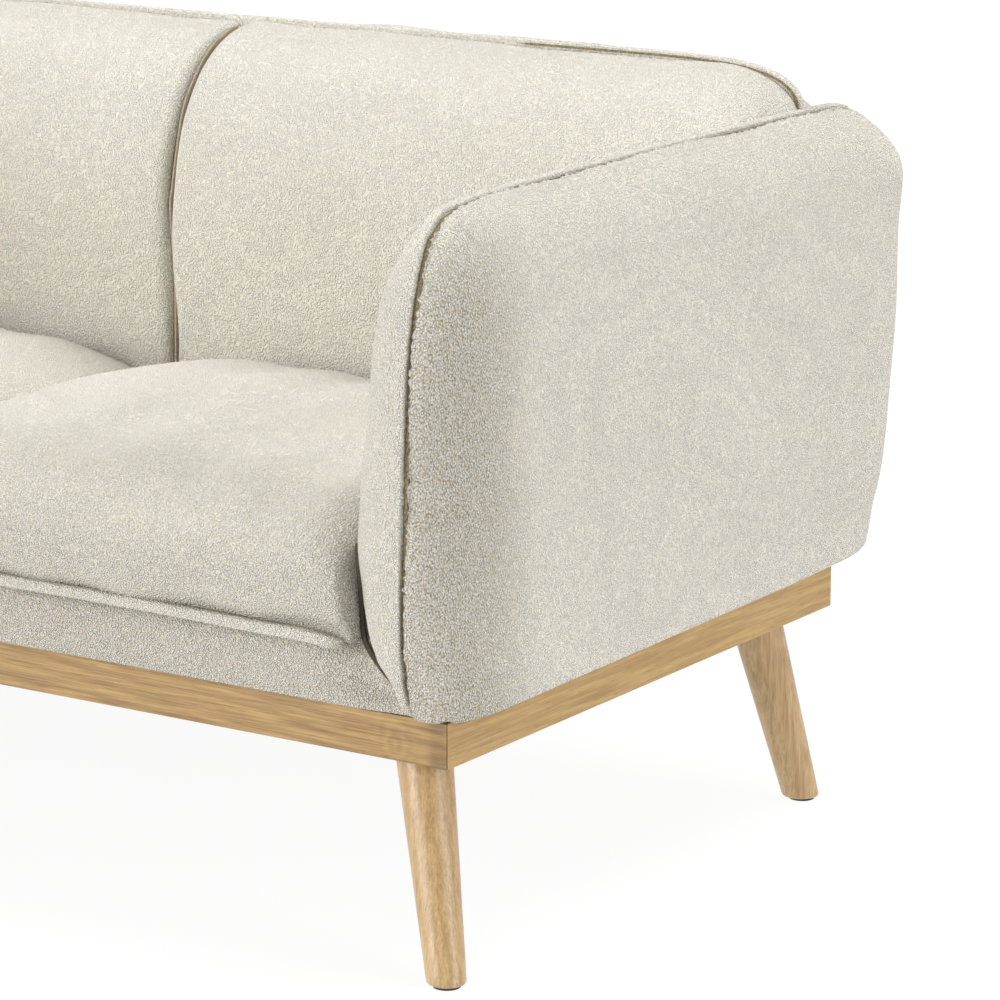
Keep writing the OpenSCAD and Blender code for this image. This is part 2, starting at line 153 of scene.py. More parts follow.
def at_x(x, yz):
    """Plane points (Y, Z) put in space at x, which is one value or a value for each point."""
    return np.column_stack([np.zeros(len(yz)) + x, yz])


def at_y(y, xz):
    """Plane points (X, Z) put in space at y."""
    return np.column_stack([xz[:, 0], np.full(len(xz), float(y)), xz[:, 1]])


def lofted(rings, flip=False):
    """Points and faces of a closed tube through rings of equally many points, its ends fanned shut."""
    count = len(rings[0])
    verts = np.concatenate(rings)
    total = len(verts)
    faces = []
    for start in range(0, total - count, count):
        for i in range(count):
            j = (i + 1) % count
            faces.append((start + i, start + j, start + count + j, start + count + i))
    for i in range(count):
        j = (i + 1) % count
        faces.append((total, j, i))
        faces.append((total + 1, total - count + i, total - count + j))
    verts = np.vstack([verts, verts[:count].mean(0), verts[-count:].mean(0)])
    return verts, [face[::-1] for face in faces] if flip else faces


def band_strip(path, up, across, width, height, taper=6):
    """A flat raised seam along path: a low rounded strip that thins out over taper points at each end.
    up lifts it and across runs over its width. Each is one direction, or a direction for each point."""
    arc = np.linspace(0.05, math.pi - 0.05, 13)
    section = [(-0.5, -0.7), *((-math.cos(a) * 0.5, math.sin(a) ** 0.3) for a in arc), (0.5, -0.7)]
    up, across = np.broadcast_to(up, path.shape), np.broadcast_to(across, path.shape)
    rings = []
    for k, middle in enumerate(path):
        from_end = min(k, len(path) - 1 - k)
        fade = 0.2 + 0.8 * math.sin(min(1.0, from_end / taper) * math.pi / 2)
        wide = width * (0.6 + 0.4 * fade)
        rings.append([middle + across[k] * s * wide + up[k] * h * height * fade for s, h in section])
    return lofted(rings)


def rippled(mesh, height, length, seed):
    """Pushes a mesh in and out along its normals by soft waves that die down toward its underside."""
    normals, places = np.empty(len(mesh.vertices) * 3), np.empty(len(mesh.vertices) * 3)
    mesh.vertices.foreach_get("normal", normals)
    mesh.vertices.foreach_get("co", places)
    normals, places = normals.reshape(-1, 3), places.reshape(-1, 3)
    calm = smoothstep(BASE_Z + 3, BASE_Z + 45, places[:, 2] / MM)
    lifted = places + normals * (height * MM * calm * waves(places / MM, length, seed))[:, None]
    mesh.vertices.foreach_set("co", lifted.ravel())
    mesh.update()


def make(name, shape, mat, nodes=(), mirror=False, ripple=None):
    """A smooth piece from a shape's points and faces. nodes are the CAD nodes that it replaces, and ripple
    is the height, length and seed of its waves."""
    verts, faces = shape
    verts = (np.asarray(verts, float) + CORNER) * MM
    if mirror:
        verts = verts * np.array([-1, 1, 1])
        faces = [face[::-1] for face in faces]
    mesh = bpy.data.meshes.new(name)
    mesh.from_pydata(verts.tolist(), [], faces)
    mesh.polygons.foreach_set("use_smooth", [True] * len(mesh.polygons))
    mesh.update()
    if ripple:
        rippled(mesh, *ripple)
    mesh.materials.append(mat)
    obj = bpy.data.objects.new(name, mesh)
    bpy.context.scene.collection.objects.link(obj)
    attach(obj, "root")
    if nodes:
        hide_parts(*nodes)
    return obj


# ---------------------------------------------------------------- material nodes


class Nodes:
    """A material's node tree, with a short method for each kind of node used here."""

    def __init__(self, name):
        self.mat = bpy.data.materials.new(name)
        self.mat.use_nodes = True
        self.tree = self.mat.node_tree
        self.tree.nodes.clear()
        output = self.add("ShaderNodeOutputMaterial")
        self.bsdf = self.add("ShaderNodeBsdfPrincipled")
        self.put(output.inputs[0], self.bsdf.outputs[0])
        self.coord = self.add("ShaderNodeTexCoord").outputs["Object"]

    def add(self, kind, **settings):
        node = self.tree.nodes.new(kind)
        for key, value in settings.items():
            setattr(node, key, value)
        return node

    def put(self, socket, value):
        """Feeds a socket from another node's output, or sets it to a value of its own."""
        if isinstance(value, bpy.types.NodeSocket):
            self.tree.links.new(value, socket)
        else:
            socket.default_value = value

    def fed(self, kind, values, **settings):
        """A new node, with values for its sockets by name or number."""
        node = self.add(kind, **settings)
        for key, value in values.items():
            self.put(node.inputs[key], value)
        return node

    def math(self, operation, a, b=0.0, clamp=False):
        return self.fed("ShaderNodeMath", {0: a, 1: b}, operation=operation, use_clamp=clamp).outputs[0]

    def plus(self, a, b):
        return self.math("ADD", a, b)

    def times(self, a, b):
        return self.math("MULTIPLY", a, b)

    def minus(self, a, b, clamp=False):
        return self.math("SUBTRACT", a, b, clamp)

    def weighted(self, *terms):
        """The sum of (value, weight) pairs."""
        total = self.times(*terms[0])
        for term in terms[1:]:
            total = self.plus(total, self.times(*term))
        return total

    def vector(self, operation, values):
        return self.fed("ShaderNodeVectorMath", values, operation=operation)

    def split(self, vector):
        """A vector's x, y and z."""
        return self.fed("ShaderNodeSeparateXYZ", {0: vector}).outputs

    def mapping(self, vector, scale, location=(0.0, 0.0, 0.0)):
        values = {"Vector": vector, "Scale": scale, "Location": location}
        return self.fed("ShaderNodeMapping", values).outputs[0]

    def noise(self, vector, scale, detail, rough, distortion=0.0):
        values = {"Vector": vector, "Scale": scale, "Detail": detail, "Roughness": rough,
                  "Distortion": distortion}
        return self.fed("ShaderNodeTexNoise", values).outputs["Fac"]

    def cells(self, vector, scale, randomness):
        """Distance from the nearest of many scattered points."""
        values = {"Vector": vector, "Scale": scale, "Randomness": randomness}
        return self.fed("ShaderNodeTexVoronoi", values).outputs["Distance"]

    def eased(self, value, lo, hi):
        """0 to 1 as value goes from lo to hi."""
        values = {"Value": value, "From Min": lo, "From Max": hi}
        return self.fed("ShaderNodeMapRange", values, interpolation_type="SMOOTHSTEP").outputs["Result"]

    def ramp(self, value, stops):
        """Colours by value, from (value, colour) stops."""
        node = self.fed("ShaderNodeValToRGB", {0: value})
        elements = node.color_ramp.elements
        while len(elements) < len(stops):
            elements.new(0.5)
        for element, (position, colour) in zip(elements, stops):
            element.position = position
            element.color = (*colour, 1.0)
        return node.outputs[0]

    def mix(self, share, a, b):
        """Colour a, going over to colour b as share goes from 0 to 1."""
        a, b = (c if isinstance(c, bpy.types.NodeSocket) else (*c, 1.0) for c in (a, b))
        return self.fed("ShaderNodeMix", {0: share, 6: a, 7: b}, data_type="RGBA").outputs[2]

    def bump(self, height, distance, strength=1.0):
        values = {"Strength": strength, "Distance": distance, "Height": height}
        return self.fed("ShaderNodeBump", values).outputs[0]

    def surface(self, colour, rough, normal, levels=()):
        """Wires up the shader and gives back the material. levels sets its other sockets by name."""
        values = {"Base Color": colour, "Roughness": rough, "Normal": normal, **dict(levels)}
        for key, value in values.items():
            self.put(self.bsdf.inputs[key], value)
        return self.mat


# ---------------------------------------------------------------- fabric

PILE_GAP_SHADE, PILE_FRONT_SHADE = (0.66, 0.615, 0.51), (0.27, 0.205, 0.092)  # painted shade between nubs, and the deeper painted shade in the gaps low on the front
PILE_MID, PILE_TIP = (0.84, 0.805, 0.72), (0.89, 0.865, 0.79)
FRONT_SHADE_TOP, FRONT_SHADE_FALL = 0.735, 0.13  # below this height the front's gaps take painted shade and the bump deepens, fully after this much more
NUB_SCALE, CURL_SCALE, CLUMP_SCALE, LOOSE_SCALE = 500.0, 900.0, 210.0, 600.0
BROAD_SCALE = 6.0  # slow changes of shade over a whole cushion
PILE_RELIEF = 0.0067
# grain and bump of the painted-shade cloth
SHADE_CLOTH_GRAIN, SHADE_CLOTH_BUMP = 520.0, 0.001


def wandering(m, scale, distance):
    """Object coordinates pushed about by noise, so that a pattern has no straight rows."""
    drift = m.fed("ShaderNodeTexNoise", {"Vector": m.coord, "Scale": scale}).outputs["Color"]
    sway = m.vector("SCALE", {0: drift, "Scale": distance}).outputs[0]
    return m.vector("ADD", {0: m.coord, 1: sway}).outputs[0]


def front_shade_mask(m, front_shade_weight, start, run):
    """How much painted shade darkens the nubs' gaps, and how much deeper the bump is: most low down on the
    sofa's front. It begins at start millimetres behind the plinth's front, and is done run millimetres
    nearer."""
    _, y, z = m.split(m.coord)
    front = m.eased(y, (CORNER[1] + start) * MM, (CORNER[1] + start - run) * MM)
    low = m.eased(z, FRONT_SHADE_TOP, FRONT_SHADE_TOP - FRONT_SHADE_FALL)
    return m.times(m.times(front, low), front_shade_weight)


def fabric(name, stretch, depth=1.0, front_shade_weight=1.0, reach=(142, 112)):
    """Fine boucle, with painted shade in the gaps between its nubs. stretch says how the nubs are drawn out
    along x, y and z, and depth how much they stand out. front_shade_weight says how much more painted shade
    the gaps take near the sofa's front, where the bump also deepens. reach is the front shade's start and
    run."""
    m = Nodes(name)
    grain = m.mapping(wandering(m, 70.0, 0.0015), stretch)
    cell = m.cells(grain, NUB_SCALE, 0.85)
    nub = m.minus(1.0, m.times(m.times(cell, cell), 2.7), clamp=True)
    curl = m.noise(grain, CURL_SCALE, 2.0, 0.6, 0.3)
    clump = m.noise(grain, CLUMP_SCALE, 2.0, 0.5)
    loose = m.minus(m.noise(grain, LOOSE_SCALE, 1.0, 0.5), 0.2)
    height = m.weighted((nub, 0.74), (curl, 0.16), (loose, 0.5), (clump, 0.06))
    # painted shade: the gaps turn darker and browner low on the front, and the bump deepens there
    front_shade = front_shade_mask(m, front_shade_weight, *reach)
    broad = m.minus(m.noise(m.coord, BROAD_SCALE, 3.0, 0.5), 0.5)
    shade = m.plus(height, m.times(broad, 0.12))
    # the gap colour is painted shade: it fills a nub's low parts fully below gap_shade_full and not at all
    # above gap_shade_none
    gap_shade_full = m.plus(0.14, m.times(front_shade, -0.07))
    gap_shade_none = m.plus(0.56, m.times(front_shade, -0.04))
    pile = m.ramp(shade, [(0.5, PILE_MID), (1.1, PILE_TIP)])
    colour = m.mix(m.eased(shade, gap_shade_full, gap_shade_none), m.mix(front_shade, PILE_GAP_SHADE, PILE_FRONT_SHADE), pile)
    relief = m.times(height, m.plus(0.40, m.times(front_shade, 0.22)))
    return m.surface(colour, m.plus(0.84, m.times(curl, 0.14)), m.bump(relief, PILE_RELIEF * depth),
                     {"Specular IOR Level": 0.15, "Sheen Weight": 0.1, "Sheen Roughness": 0.5})


def plain(name, colour, rough, metal=0.0, grain=300.0, depth=0.0002, spread=0.12):
    """A base colour that varies a little, with fine surface grain."""
    m = Nodes(name)
    speck = m.noise(m.coord, grain, 3.0, 0.6)
    dark = tuple(c * (1 - spread) for c in colour)
    light = tuple(min(1.0, c * (1 + spread)) for c in colour)
    return m.surface(m.ramp(speck, [(0.3, dark), (0.7, light)]), m.plus(rough, m.times(speck, 0.15)),
                     m.bump(speck, depth, 0.5), {"Metallic": metal})


def painted_shade_cloth(name, colour, spread):
    """Painted shade: dark cloth colour for strips laid down in a fold or a crease, or beside a stitch line.
    """
    return plain(name, colour, 0.95, grain=SHADE_CLOTH_GRAIN, depth=SHADE_CLOTH_BUMP, spread=spread)


def dust_cloth():
    """Thin black non-woven cloth with a dimpled print."""
    m = Nodes("dust_cloth")
    dots = m.cells(m.coord, 420.0, 0.05)
    fuzz = m.noise(m.coord, 900.0, 3.0, 0.6)
    colour = m.ramp(m.plus(dots, m.times(fuzz, 0.3)),
                    [(0.2, (0.014, 0.014, 0.016)), (0.8, (0.045, 0.045, 0.05))])
    return m.surface(colour, m.plus(0.75, m.times(fuzz, 0.2)), m.bump(dots, 0.0004, 0.6))


# each copy's front_shade_weight sets how much painted shade its gaps take near the front
FABRIC_UP = fabric("boucle_upright", (1.0, 1.0, 0.72))
FABRIC_SEAT = fabric("boucle_seat", (1.0, 0.72, 0.9), front_shade_weight=0.55, reach=(150, 145))
FABRIC_IN = fabric("boucle_inner", (1.0, 1.0, 0.72), front_shade_weight=0.35)
FABRIC_BAND = fabric("boucle_band", (0.9, 0.9, 0.9), front_shade_weight=0.3)
FABRIC_BORDER = fabric("boucle_border", (1.0, 1.0, 0.8), depth=1.15, front_shade_weight=0.7)
# painted shade: dark cloth for the strips in the arm seams' grooves and along the back bands' stitch lines
FABRIC_SEAM_SHADE = painted_shade_cloth("boucle_seam_shade", (0.22, 0.175, 0.105), 0.75)
# painted shade: near-black cloth for the strips in the creases where the seat and border meet the arms
FABRIC_CREASE_SHADE = painted_shade_cloth("boucle_crease_shade", (0.062, 0.05, 0.031), 0.6)
# painted shade: dark cloth for the strip down the gap between the back cushions
FABRIC_SHADE = painted_shade_cloth("boucle_shade", (0.40, 0.34, 0.245), 0.3)

# ---------------------------------------------------------------- wood and the frame's materials

LIGHT_WOOD, DARK_WOOD = (0.47, 0.30, 0.106), (0.17, 0.089, 0.025)
LIGHT_PINE, DARK_PINE = (0.62, 0.45, 0.26), (0.45, 0.30, 0.15)
EYE_SCALE = (46.0, 1.0, 21.0)  # how much the oval figure is shrunk along each axis
END_GRAIN = 0.012  # the length over which a rail's mitred end turns browner


def oval_figure(m, eye, figure):
    """Ripples round a small oval figure whose middle is at eye, an (x, z)."""
    location = (-EYE_SCALE[0] * eye[0], 0.0, -EYE_SCALE[2] * eye[1])
    face = m.mapping(m.mapping(m.coord, EYE_SCALE, location), (1.0, 0.0, 1.0))
    reach = m.vector("LENGTH", {0: face}).outputs["Value"]
    ripple = m.math("SINE", m.times(m.plus(reach, m.times(figure, 1.1)), 11.0))
    near = m.minus(1.0, m.times(reach, 0.8), clamp=True)
    return m.times(m.times(ripple, near), 0.13)


def timber(name, along, light, dark, gloss=0.42, coat=0.18, eye=None, end=None):
    """Light wood with long grain, pores and a faint figure. along is the grain's axis: 0, 1 or 2.
    eye is the middle of a small oval figure; end is how far out along the grain the end grain starts."""
    m = Nodes(name)

    def grain(ratio, shift=0.0):
        scale = [1.0, 1.0, 1.0]
        scale[along] = ratio
        return m.mapping(m.coord, scale, (shift, shift * 0.7, shift * 1.3))

    figure = m.noise(grain(0.10, 0.3), 30.0, 4.0, 0.6, 2.2)
    ring_values = {"Vector": grain(0.06), "Scale": 42.0, "Distortion": 9.0, "Detail": 4.0,
                   "Detail Scale": 1.8}
    rings = m.fed("ShaderNodeTexWave", ring_values, wave_type="BANDS", bands_direction="DIAGONAL")
    streak = m.noise(grain(0.028, 0.9), 560.0, 3.0, 0.65)
    pore = m.noise(grain(0.05, 1.7), 1000.0, 1.0, 0.5)
    tone = m.weighted((rings.outputs["Fac"], 0.24), (figure, 0.34), (m.minus(streak, 0.35), 1.45))
    if eye:
        tone = m.plus(tone, oval_figure(m, eye, figure))
    middle = tuple((a + b) / 2 for a, b in zip(light, dark))
    base = m.ramp(tone, [(0.08, light), (0.53, middle), (0.98, dark)])
    pit = m.math("MULTIPLY", m.minus(pore, 0.60, clamp=True), 6.0, clamp=True)
    colour = m.mix(m.times(pit, 0.45), base, tuple(c * 0.5 for c in dark))
    if end:
        browner = m.eased(m.math("ABSOLUTE", m.split(m.coord)[along]), end, end + END_GRAIN)
        colour = m.mix(m.times(browner, m.times(figure, 0.9)), colour, tuple(c * 0.7 for c in dark))
    relief = m.minus(streak, m.times(pit, 0.8))
    return m.surface(colour, m.plus(gloss, m.times(streak, 0.16)), m.bump(relief, 0.00025, 0.6),
                     {"Coat Weight": coat, "Coat Roughness": 0.28})


WOOD_X = timber("plinth_wood_x", 0, LIGHT_WOOD, DARK_WOOD,
                eye=((CORNER[0] - 58) * MM, (PLINTH_BOTTOM + 14) * MM), end=(HALF - 26) * MM)
WOOD_Y = timber("plinth_wood_y", 1, (0.535, 0.345, 0.122), (0.31, 0.17, 0.048))
WOOD_LEG = timber("leg_wood", 2, (0.58, 0.40, 0.20), (0.31, 0.18, 0.065), gloss=0.34, coat=0.35)
PINE_X = timber("frame_wood_x", 0, LIGHT_PINE, DARK_PINE, gloss=0.6, coat=0.0)
PINE_Y = timber("frame_wood_y", 1, LIGHT_PINE, DARK_PINE, gloss=0.6, coat=0.0)
HARDBOARD = plain("hardboard", (0.20, 0.12, 0.06), 0.7)
FOAM = plain("foam", (0.80, 0.72, 0.45), 0.9, grain=900.0, depth=0.0006)
STEEL = plain("zinc_steel", (0.55, 0.56, 0.58), 0.32, metal=1.0, grain=120.0)
NYLON = plain("black_nylon", (0.025, 0.025, 0.028), 0.5, grain=700.0)
WEB = plain("webbing", (0.03, 0.028, 0.026), 0.85, grain=1200.0, depth=0.0005)
DUST = dust_cloth()

# words in a CAD node's name, and its material: the first row that fits counts, and the last fits all
CAD_MATERIALS = (
    (("foam",), FOAM),
    (("board",), HARDBOARD),
    (("plinth_front", "plinth_rear"), WOOD_X),
    (("plinth_left", "plinth_right"), WOOD_Y),
    (("base_front", "base_rear", "leg_blocks", "back_top_rail"), PINE_X),
    (("rail", "post"), PINE_Y),
    (("leg_front", "leg_rear"), WOOD_LEG),
    (("foot_glides", "spring_clips"), NYLON),
    (("dust_cover",), DUST),
    (("back_webbing",), WEB),
    (("plate", "screw", "bolt", "bracket", "spring"), STEEL),
    (("",), FABRIC_UP),
)
for node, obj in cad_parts.items():
    mat = next(mat for words, mat in CAD_MATERIALS if any(word in node for word in words))
    obj.data.materials.clear()
    obj.data.materials.append(mat)

# ---------------------------------------------------------------- arms

# outline of the sewn seam, front bottom corner first, clockwise seen from the right: (Y, Z)
ARM_SEAM = [
    (11, 252), (-2, 265), (-11, 281), (-16, 301), (-19, 330), (-19, 367), (-18, 404), (-16, 459),
    (-13, 504), (-9, 549), (-4, 594), (4, 638), (14, 668), (22, 685), (33, 695), (47, 704),
    (70, 708), (102, 710), (158, 712), (317, 714), (493, 715), (667, 715), (750, 714), (784, 710),
    (803, 702), (822, 688), (838, 670), (850, 650), (858, 630), (861, 607), (861, 580), (857, 530),
    (851, 478), (843, 405), (829, 321), (815, 274), (804, 257), (790, 252), (600, 251.5), (400, 251.5),
    (200, 251.5), (60, 251.5), (24, 251.5),
]
RING = 900  # points round an arm
SEAM_CURVE = spline(ARM_SEAM, RING)
SEAM_OUT = outward(SEAM_CURVE)
SEAM_START, SEAM_END_Y = (8, 254), 800  # where the seam's visible stretch begins and ends
PUFF = 6.0  # how far the pads stand out past the seam
LIP = 6.0  # the width over which they roll up out of its groove
ROOT = 14  # how far inside the seam a pad's hidden edge lies
CORE_BLUNT = 12  # how many ring points a face's own corners are rounded over
PILE_SEED, PILE_ROUGH = 11, 0.7  # the pile's uneven edge along the groove
LIP_RINGS, ROLL_RINGS, FACE_RINGS = 8, 26, 26


def pillow_half(width, inset, crown, groove, sign, form):
    """Half an arm: rings that start down in the seam's groove and roll out to a crowned face.
    inset is (front, rear, top, bottom): how far the edge takes to roll over. sign is 1 for the outer
    half and -1 for the inner one, and form is the function that gives the half its own shape."""
    front, rear, top, bottom = inset
    pad = SEAM_CURVE + SEAM_OUT * PUFF
    pad[:, 1] = np.maximum(pad[:, 1], BASE_Z)
    lo = pad.min(0) + np.array([front, bottom])
    hi = pad.max(0) - np.array([rear, top])
    core = blunt(lo + (pad - pad.min(0)) * (hi - lo) / np.ptp(pad, axis=0), CORE_BLUNT)
    centre = (lo + hi) / 2
    rings = [(0.0, centre + (SEAM_CURVE - SEAM_OUT * ROOT - centre) * s) for s in (0.4, 1.0)]
    depth = groove * (1 - 0.5 * smoothstep(610, 680, SEAM_CURVE[:, 1]))[:, None]
    rough = np.random.RandomState(PILE_SEED + sign).normal(size=(RING, 1)) * PILE_ROUGH
    groove_x = 3.2 if sign > 0 else 0.3
    for t in np.linspace(0, 1, LIP_RINGS):
        dip = depth * (1 - math.sqrt(max(0.0, 1 - (1 - t) ** 2))) + rough * (1 - t) * t * 4
        roll = math.sqrt(1 - (LIP * t / width) ** 2)
        rings.append((groove_x + (LIP - groove_x) * t + rough[:, 0] * t * (1 - t) * 4,
                      core + (pad - core) * roll - SEAM_OUT * dip))
    for theta in np.linspace(math.asin(LIP / width), math.pi / 2, ROLL_RINGS)[1:]:
        rings.append((width * math.sin(theta), core + (pad - core) * math.cos(theta)))
    for s in np.linspace(1, 0.04, FACE_RINGS)[1:]:
        rings.append((width + crown * (1 - s**2) ** 1.2, centre + (core - centre) * s))
    for _, yz in rings:
        yz[:, 1] = np.maximum(yz[:, 1], BASE_Z - 0.5)
    verts, faces = lofted([at_x(SEAM_X + sign * x, yz) for x, yz in rings], flip=sign > 0)
    return form(verts), faces


def low_front(z):
    """Where an arm's front lies at height z, low down."""
    return np.interp(z, [250, 265, 281, 301, 330], [5, -8, -17, -22, -25])


def past_seam(x, lo, hi):
    """0 to 1 as x goes from lo to hi millimetres outside the arm's seam."""
    return smoothstep(SEAM_X + lo, SEAM_X + hi, x)


def outer_shape(v):
    """The outer half: tight round its low front, leaning out over the plinth, full at its rear corner."""
    y, z = v[:, 1], v[:, 2]
    # low down, the side bends round to the front in a shorter curve, and its face stands further forward
    slope = 1 - 0.68 * (1 - smoothstep(252, 400, z))
    edge = low_front(z)
    reach = np.clip((y - edge) / 300, 0, 1)
    y = edge + (y - edge) * np.where(y > edge, slope + (1 - slope) * reach**1.2, 1.0)
    y -= 9 * (1 - smoothstep(252, 305, z)) * past_seam(v[:, 0], 3, 24) * (1 - reach)
    v[:, 1] = y
    # the lower edge leans out over the plinth near the front and in toward the rear
    low = np.exp(-(((z - 262) / 60.0) ** 2))
    lean = np.interp(y, [-30, 10, 60, 160, 300, 600, 700, 850], [0, 5, 7, 4, 2, -3, -7, -8])
    v[:, 0] += low * lean * past_seam(v[:, 0], 4, 40)
    # the underside is pressed flat, and hangs a little lower where it passes over the plinth's edge
    v[:, 2] -= (z - BASE_Z) * 0.85 * (1 - smoothstep(262, 300, z))
    over = np.maximum(smoothstep(1, 6, v[:, 0]), smoothstep(1, 7, -v[:, 1]))
    v[:, 2] -= 2.0 * over * (1 - smoothstep(252, 266, v[:, 2]))
    # the upper rear corner is fuller
    corner = np.exp(-(((y - 838) / 45.0) ** 2) - ((z - 655) / 38.0) ** 2)
    v[:, 0] += 11 * corner * past_seam(v[:, 0], 4, 22)
    return v


def inner_shape(v):
    """The inner half: proud of the border at its low front, fuller higher up, ending at the back cushion."""
    y, z = v[:, 1], v[:, 2]
    proud = (1 - smoothstep(285, 380, z)) * (1 - smoothstep(30, 90, y))
    v[:, 1] = y - 0.7 * proud * np.maximum(y - low_front(z), 0)
    full = np.interp(z, [252, 270, 285, 300, 325, 350, 375, 400, 550, 590, 630, 660, 690, 710],
                     [0.5, 0.42, 0.46, 0.62, 0.78, 0.88, 0.94, 0.99, 0.99, 1.07, 1.17, 1.2, 1.2, 1.0])
    v[:, 0] = SEAM_X + (v[:, 0] - SEAM_X) * full
    back_face = np.interp(v[:, 2], [240, 380, 500, 560, 620, 680, 720],
                          [560, 556, 552, 548, 552, 575, 640])
    v[:, 1] = np.where(v[:, 0] < SEAM_X - 12, np.minimum(v[:, 1], back_face), v[:, 1])
    return v


def arm_seam():
    """The flat seam up an arm's front and over its top, and a dark strip of painted shade in the groove
    beside it.
    """
    start = np.argmin(np.hypot(SEAM_CURVE[:, 0] - SEAM_START[0], SEAM_CURVE[:, 1] - SEAM_START[1]))
    order = np.roll(np.arange(RING), -start)
    shown = order[: np.argmax(SEAM_CURVE[order, 0] > SEAM_END_Y)]
    line, lift = SEAM_CURVE[shown], SEAM_OUT[shown]
    up, across = at_x(0.0, lift), (1.0, 0, 0)
    band_path = at_x(SEAM_X - 6.0, line + lift * (PUFF - 1.8))
    valley_path = at_x(SEAM_X + 1.7, line + lift * 1.6)
    return (band_strip(band_path, up, across, width=11.0, height=4.6),
            band_strip(valley_path, up, across, width=6.0, height=1.2))


def arm_crease_shade():
    """A dark strip of painted shade down the crease of an arm's inner half, where the seat and the border
    meet it: (X, Z).
    """
    line = spline([(-101, 405), (-100, 388), (-98, 366), (-96, 340), (-94.5, 320), (-89, 308), (-79, 295.5),
                   (-65, 282.5), (-54, 271), (-46, 260), (-40, 254)], 120, closed=False)
    across = at_y(0, outward(line, closed=False))
    return band_strip(at_y(4, line) - (0.4, 0, 0), (0, -1.0, 0), across, width=5.0, height=1.6)


outer_half = pillow_half(ARM_OUT - SEAM_X, inset=(117, 78, 90, 12), crown=3.0, groove=8.0, sign=1,
                         form=outer_shape)
inner_half = pillow_half(SEAM_X - ARM_IN + 3, inset=(62, 60, 330, 125), crown=1.0, groove=7.0, sign=-1,
                         form=inner_shape)
seam_band, groove_shade_strip = arm_seam()
crease_shade = arm_crease_shade()
for side, mirror in SIDES:
    # a dark strip of painted shade in the crease where the seat and border meet the arm
    make(f"arm_crease_shade_{side}", crease_shade, FABRIC_CREASE_SHADE, mirror=mirror)
    make(f"arm_outer_pad_{side}", outer_half, FABRIC_UP,
         (f"arm_outer_cover_{side}", f"arm_outer_foam_{side}"), mirror=mirror, ripple=(1.3, 150, 3))
    make(f"arm_inner_pad_{side}", inner_half, FABRIC_IN,
         (f"arm_inner_cover_{side}", f"arm_inner_foam_{side}"), mirror=mirror, ripple=(1.0, 120, 4))
    make(f"arm_band_{side}", seam_band, FABRIC_BAND, (f"arm_seam_{side}",), mirror=mirror)
    # a dark strip of painted shade in the arm seam's groove
    make(f"arm_seam_shade_{side}", groove_shade_strip, FABRIC_SEAM_SHADE, mirror=mirror)

# ---------------------------------------------------------------- back

BACK_SEAM_Y = 700.0
# a back cushion's section, front bottom corner first: (Y, Z)
BACK_PROFILE = [
    (556, 330), (556, 405), (556, 448), (555, 484), (551, 545), (550, 575), (552, 605), (558, 636),
    (569, 668), (580, 690), (592, 709), (607, 727), (628, 743), (652, 755), (678, 762), (700, 764.5),
    (704, 764), (704, 700), (704, 600), (704, 450), (704, 345), (700, 330), (640, 326), (580, 326),
]
BACK_LOW, BACK_RISE = 330, 435.0  # its underside, and its height above that
# the padded outside back's section, top front first: (Y, Z)
REAR_PROFILE = [
    (704, 766), (735, 761), (765, 749), (795, 729), (820, 703), (842, 668), (855, 634), (859, 607),
    (859, 580), (855, 530), (849, 478), (841, 405), (827, 321), (813, 274), (802, 257), (789, 252),
    (760, 251.5), (709, 251.5), (705, 300), (705, 500), (705, 700),
]
REAR_ROUND = 26  # radius of its upright ends


def back_pad():
    """A back cushion: crowned, tight at the middle gap and well rounded at the arm."""
    base = spline(BACK_PROFILE, 260)
    mid, half = (BACK_X0 + BACK_X1) / 2, (BACK_X1 - BACK_X0) / 2
    rings = []
    for x in stations(BACK_X0, BACK_X1, 20, 92, 60):
        left, right = x - BACK_X0, BACK_X1 - x
        p = base.copy()
        front = np.clip((BACK_SEAM_Y - p[:, 0]) / 60.0, 0, 1)
        high = np.clip((p[:, 1] - BACK_LOW) / BACK_RISE, 0, 1)
        crown = 7 * (1 - abs((x - mid) / half) ** 2.6) * np.sin(high * math.pi) ** 0.7
        roll = 15 * quarter_drop(left, 16) + 30 * quarter_drop(right, 60)
        p[:, 0] = np.minimum(p[:, 0] - front * (crown - roll), np.maximum(BACK_SEAM_Y - 2, p[:, 0]))
        drop = 26 * quarter_drop(left, 15) + 50 * quarter_drop(right, 92)
        p[:, 1] -= drop * high**2.5
        rings.append(at_x(x, p))
    return lofted(rings, flip=True)


def back_band():
    """The flat seam over the top of a back cushion and down both upper corners, and a thin dark strip of
    painted shade along the stitch line beside its right half."""
    from_gap = [(1, 724), (1.5, 742), (4, 755), (10, 762.5), (22, 766), (45, 767), (120, 767), (350, 767.5)]
    from_arm = [(-170, 767.5), (-115, 766.5), (-80, 764.5), (-50, 760), (-27, 753), (-11, 743), (-3, 731),
                (0, 714), (0, 690)]
    points = [(BACK_X0 + x, z) for x, z in from_gap] + [(BACK_X1 + x, z) for x, z in from_arm]
    line = spline(points, 220, closed=False)
    lift = outward(line, closed=False)
    path = at_y(BACK_SEAM_Y + 3, line - lift * 3)
    up, across = at_y(0, lift), np.array([0, 1.0, 0])
    right_half = slice(len(line) // 2, None)
    beside = (path - across * 4.9 + up * 2.2)[right_half]
    return (band_strip(path, up, across, width=8.5, height=7.0),
            band_strip(beside, up[right_half], across, width=1.2, height=1.3))


